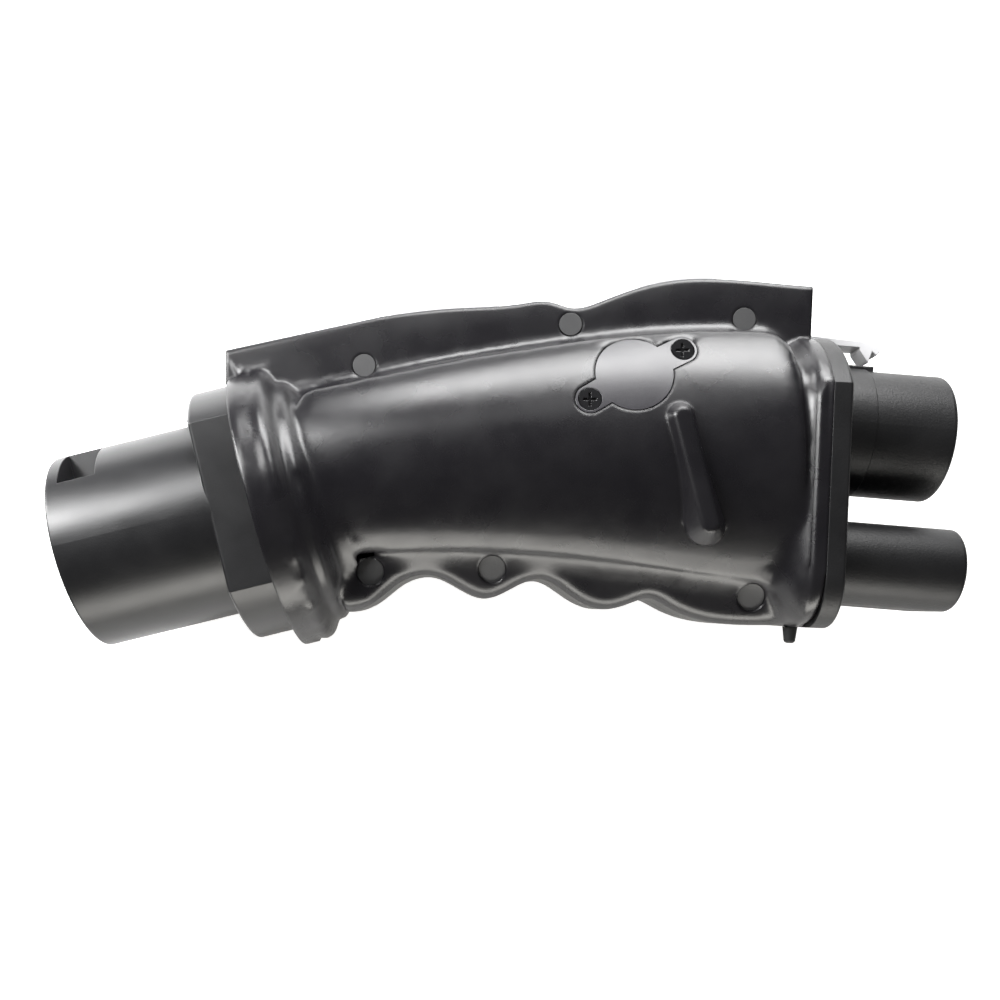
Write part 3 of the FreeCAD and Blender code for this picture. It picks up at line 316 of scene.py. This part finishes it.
def soft_shares(places, facing):
    """How strongly the surface is smoothed at each point, from none to full. Caps, cover and lip stay crisp."""
    x, y, z = places.T
    from_low = abs(bulge_low(x) - y - LOW_EDGE_OFFSET)
    low_edge = until(from_low, *EDGE_REACH) * step(x, *LOW_EDGE_FRONT) * until(x, *LOW_EDGE_BACK)
    low_edge *= step(z, *FOOT_Z)
    from_top = abs(y - numpy.polyval(BULGE_TOP, x) - TOP_EDGE_OFFSET)
    top_edge = until(from_top, *EDGE_REACH) * step(x, *TOP_EDGE_FRONT) * until(x, *TOP_EDGE_BACK)
    top_edge *= step(z, *FOOT_Z) * until(z, *WALL_Z)
    saddle = step(x, *SADDLE_FRONT) * until(behind_front_wall(x, y), *SADDLE_BACK) * step(z, *SADDLE_Z)
    end = step(x, *END_FRONT) * until(x, *END_BACK) * until(y, *END_TOP) * step(z, *END_Z)
    shares = numpy.maximum.reduce([low_edge, top_edge, saddle, end])
    crisp = (z < PARTING_KEEP_Z) | (facing < INSIDE_FACING) | (behind_lip(x, y) < LIP_KEEP_MM)
    crisp |= (numpy.hypot(x - COVER_AT[0], y - COVER_AT[1]) < COVER_KEEP_MM) & (z > COVER_LOW_Z)
    for at_x, at_y in CAPS_AT:
        crisp |= numpy.hypot(x - at_x, y - at_y) < CAP_KEEP_MM
    shares[crisp] = 0.0
    return shares


def refine(mesh, side):
    """Split the long edges wherever the surface will be moved or smoothed, but not on the inside's floors."""
    for _ in range(REFINE_ROUNDS):
        mesh.normal_update()
        mesh.verts.index_update()
        places, facing = half_places(mesh, side)
        low = places[:, 1] < bulge_low(places[:, 0]) + BAND_MARGIN
        on_band = (places[:, 2] > BAND_ROOT_Z) & low & (facing > INSIDE_FACING)
        wanted = ((soft_shares(places, facing) > 0.0) | on_band).tolist()
        long_edges = [edge for edge in mesh.edges if edge.calc_length() > SOFT_EDGE_MM * MM
                      and (wanted[edge.verts[0].index] or wanted[edge.verts[1].index])]
        if not long_edges:
            break
        bmesh.ops.subdivide_edges(mesh, edges=long_edges, cuts=1)
        bmesh.ops.triangulate(mesh, faces=[face for face in mesh.faces if len(face.verts) > 3])


def soften(mesh, side):
    """Smooth the junctions of the moulding, most where the share is highest."""
    mesh.normal_update()
    shares = soft_shares(*half_places(mesh, side)).tolist()
    for turn in range(SOFT_ROUNDS):
        chosen = [vert for vert, share in zip(mesh.verts, shares) if share > turn / SOFT_ROUNDS]
        bmesh.ops.smooth_vert(mesh, verts=chosen, factor=SOFT_FACTOR,
                              use_axis_x=True, use_axis_y=True, use_axis_z=True)


def mesh_object(mesh, name):
    """A new object from the points and faces alone, shaded smooth up to the sharp angle."""
    mesh.verts.index_update()
    data = bpy.data.meshes.new(name)
    data.from_pydata([vert.co[:] for vert in mesh.verts], [],
                     [[vert.index for vert in face.verts] for face in mesh.faces])
    data.shade_smooth()
    data.set_sharp_from_angle(angle=math.radians(SHARP_DEG))
    piece = bpy.data.objects.new(name, data)
    bpy.context.scene.collection.objects.link(piece)
    return piece


def moulded_copy(node, name, side, soft):
    """A copy of a node with the band's slope and, where asked, with soft junctions."""
    mesh = bmesh.new()
    mesh.from_mesh(node.data)
    bmesh.ops.remove_doubles(mesh, verts=mesh.verts, dist=WELD_MM * MM)
    refine(mesh, side)
    for vert, lift in zip(mesh.verts, band_lift(half_places(mesh, side)[0]).tolist()):
        vert.co.z += side * lift * MM
    if soft:
        soften(mesh, side)
    piece = mesh_object(mesh, name)
    mesh.free()
    return piece


def put_in_place(piece, node, slot, materials):
    """The piece takes the node's place on the housing."""
    piece.data.materials.append(materials[slot])
    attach(piece, "housing")
    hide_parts(node)


def mould_housing(frame, materials):
    """Stand-ins for both halves and the screw caps, at the same places, with the moulding's soft forms."""
    for node, side in HALVES.items():
        piece = moulded_copy(frame["nodes"][node], node.replace("shell", "housing_half"), side, True)
        put_in_place(piece, node, "housing_black", materials)
    caps = moulded_copy(frame["nodes"]["shell_screw_caps"], "screw_cap_set", HALVES["near_shell"], False)
    put_in_place(caps, "shell_screw_caps", "cap_grey", materials)


# Studio

def make_world():
    """Plain pale world: white to the camera, and dim as light."""
    world = bpy.data.worlds.new("studio")
    bpy.context.scene.world = world
    world.use_nodes = True
    tree = world.node_tree
    background = tree.nodes["Background"]
    path = tree.nodes.new("ShaderNodeLightPath")
    strength = tree.nodes.new("ShaderNodeMix")
    strength.data_type = "FLOAT"
    strength.inputs["A"].default_value = WORLD_LIGHT
    strength.inputs["B"].default_value = 1.0
    tree.links.new(path.outputs["Is Camera Ray"], strength.inputs["Factor"])
    background.inputs["Color"].default_value = (*WHITE, 1.0)
    tree.links.new(strength.outputs["Result"], background.inputs["Strength"])


def make_floor():
    """A pale floor that shows white to the camera and keeps the shadow."""
    mesh = bpy.data.meshes.new("floor")
    half = FLOOR_SIZE_M / 2
    corners = [(-half, -half, 0), (half, -half, 0), (half, half, 0), (-half, half, 0)]
    mesh.from_pydata(corners, [], [(0, 1, 2, 3)])
    floor = bpy.data.objects.new("floor", mesh)
    bpy.context.scene.collection.objects.link(floor)
    material, tree, shader = new_material("floor")
    shader.inputs["Base Color"].default_value = (FLOOR_GREY, FLOOR_GREY, FLOOR_GREY, 1.0)
    shader.inputs["Roughness"].default_value = 0.9
    shader.inputs["Specular IOR Level"].default_value = 0.1
    path = tree.nodes.new("ShaderNodeLightPath")
    lift = tree.nodes.new("ShaderNodeEmission")
    lift.inputs["Strength"].default_value = FLOOR_LIFT
    add = tree.nodes.new("ShaderNodeAddShader")
    pick = tree.nodes.new("ShaderNodeMixShader")
    output = tree.nodes["Material Output"]
    tree.links.new(shader.outputs["BSDF"], add.inputs[0])
    tree.links.new(lift.outputs["Emission"], add.inputs[1])
    tree.links.new(path.outputs["Is Camera Ray"], pick.inputs["Fac"])
    tree.links.new(shader.outputs["BSDF"], pick.inputs[1])
    tree.links.new(add.outputs["Shader"], pick.inputs[2])
    tree.links.new(pick.outputs["Shader"], output.inputs["Surface"])
    floor.data.materials.append(material)


def make_lights():
    for name, at_mm, aim_mm, size_mm, power, colour in LAMPS:
        data = bpy.data.lights.new(name, "AREA")
        data.shape = "RECTANGLE"
        data.size = size_mm[0] * MM
        data.size_y = size_mm[1] * MM
        data.energy = power
        data.color = colour
        lamp = bpy.data.objects.new(name, data)
        bpy.context.scene.collection.objects.link(lamp)
        lamp.location = design(*at_mm)
        direction = design(*aim_mm) - lamp.location
        lamp.rotation_euler = direction.to_track_quat("-Z", "Y").to_euler()


def make_camera():
    data = bpy.data.cameras.new("camera")
    camera = bpy.data.objects.new("camera", data)
    bpy.context.scene.collection.objects.link(camera)
    camera.location = design(*CAMERA_AT)
    data.sensor_width = SENSOR_MM
    data.sensor_fit = "HORIZONTAL"
    data.lens = PIXELS_PER_MM * CAMERA_AT[2] * SENSOR_MM / PICTURE_PX
    data.shift_x, data.shift_y = CAMERA_SHIFT
    data.clip_start, data.clip_end = CLIP_M
    bpy.context.scene.camera = camera


def main():
    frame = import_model()
    bpy.context.scene.view_settings.view_transform = "Standard"
    materials = make_materials()
    dress_nodes(frame, materials)
    mould_housing(frame, materials)
    make_world()
    make_floor()
    make_lights()
    make_camera()


main()
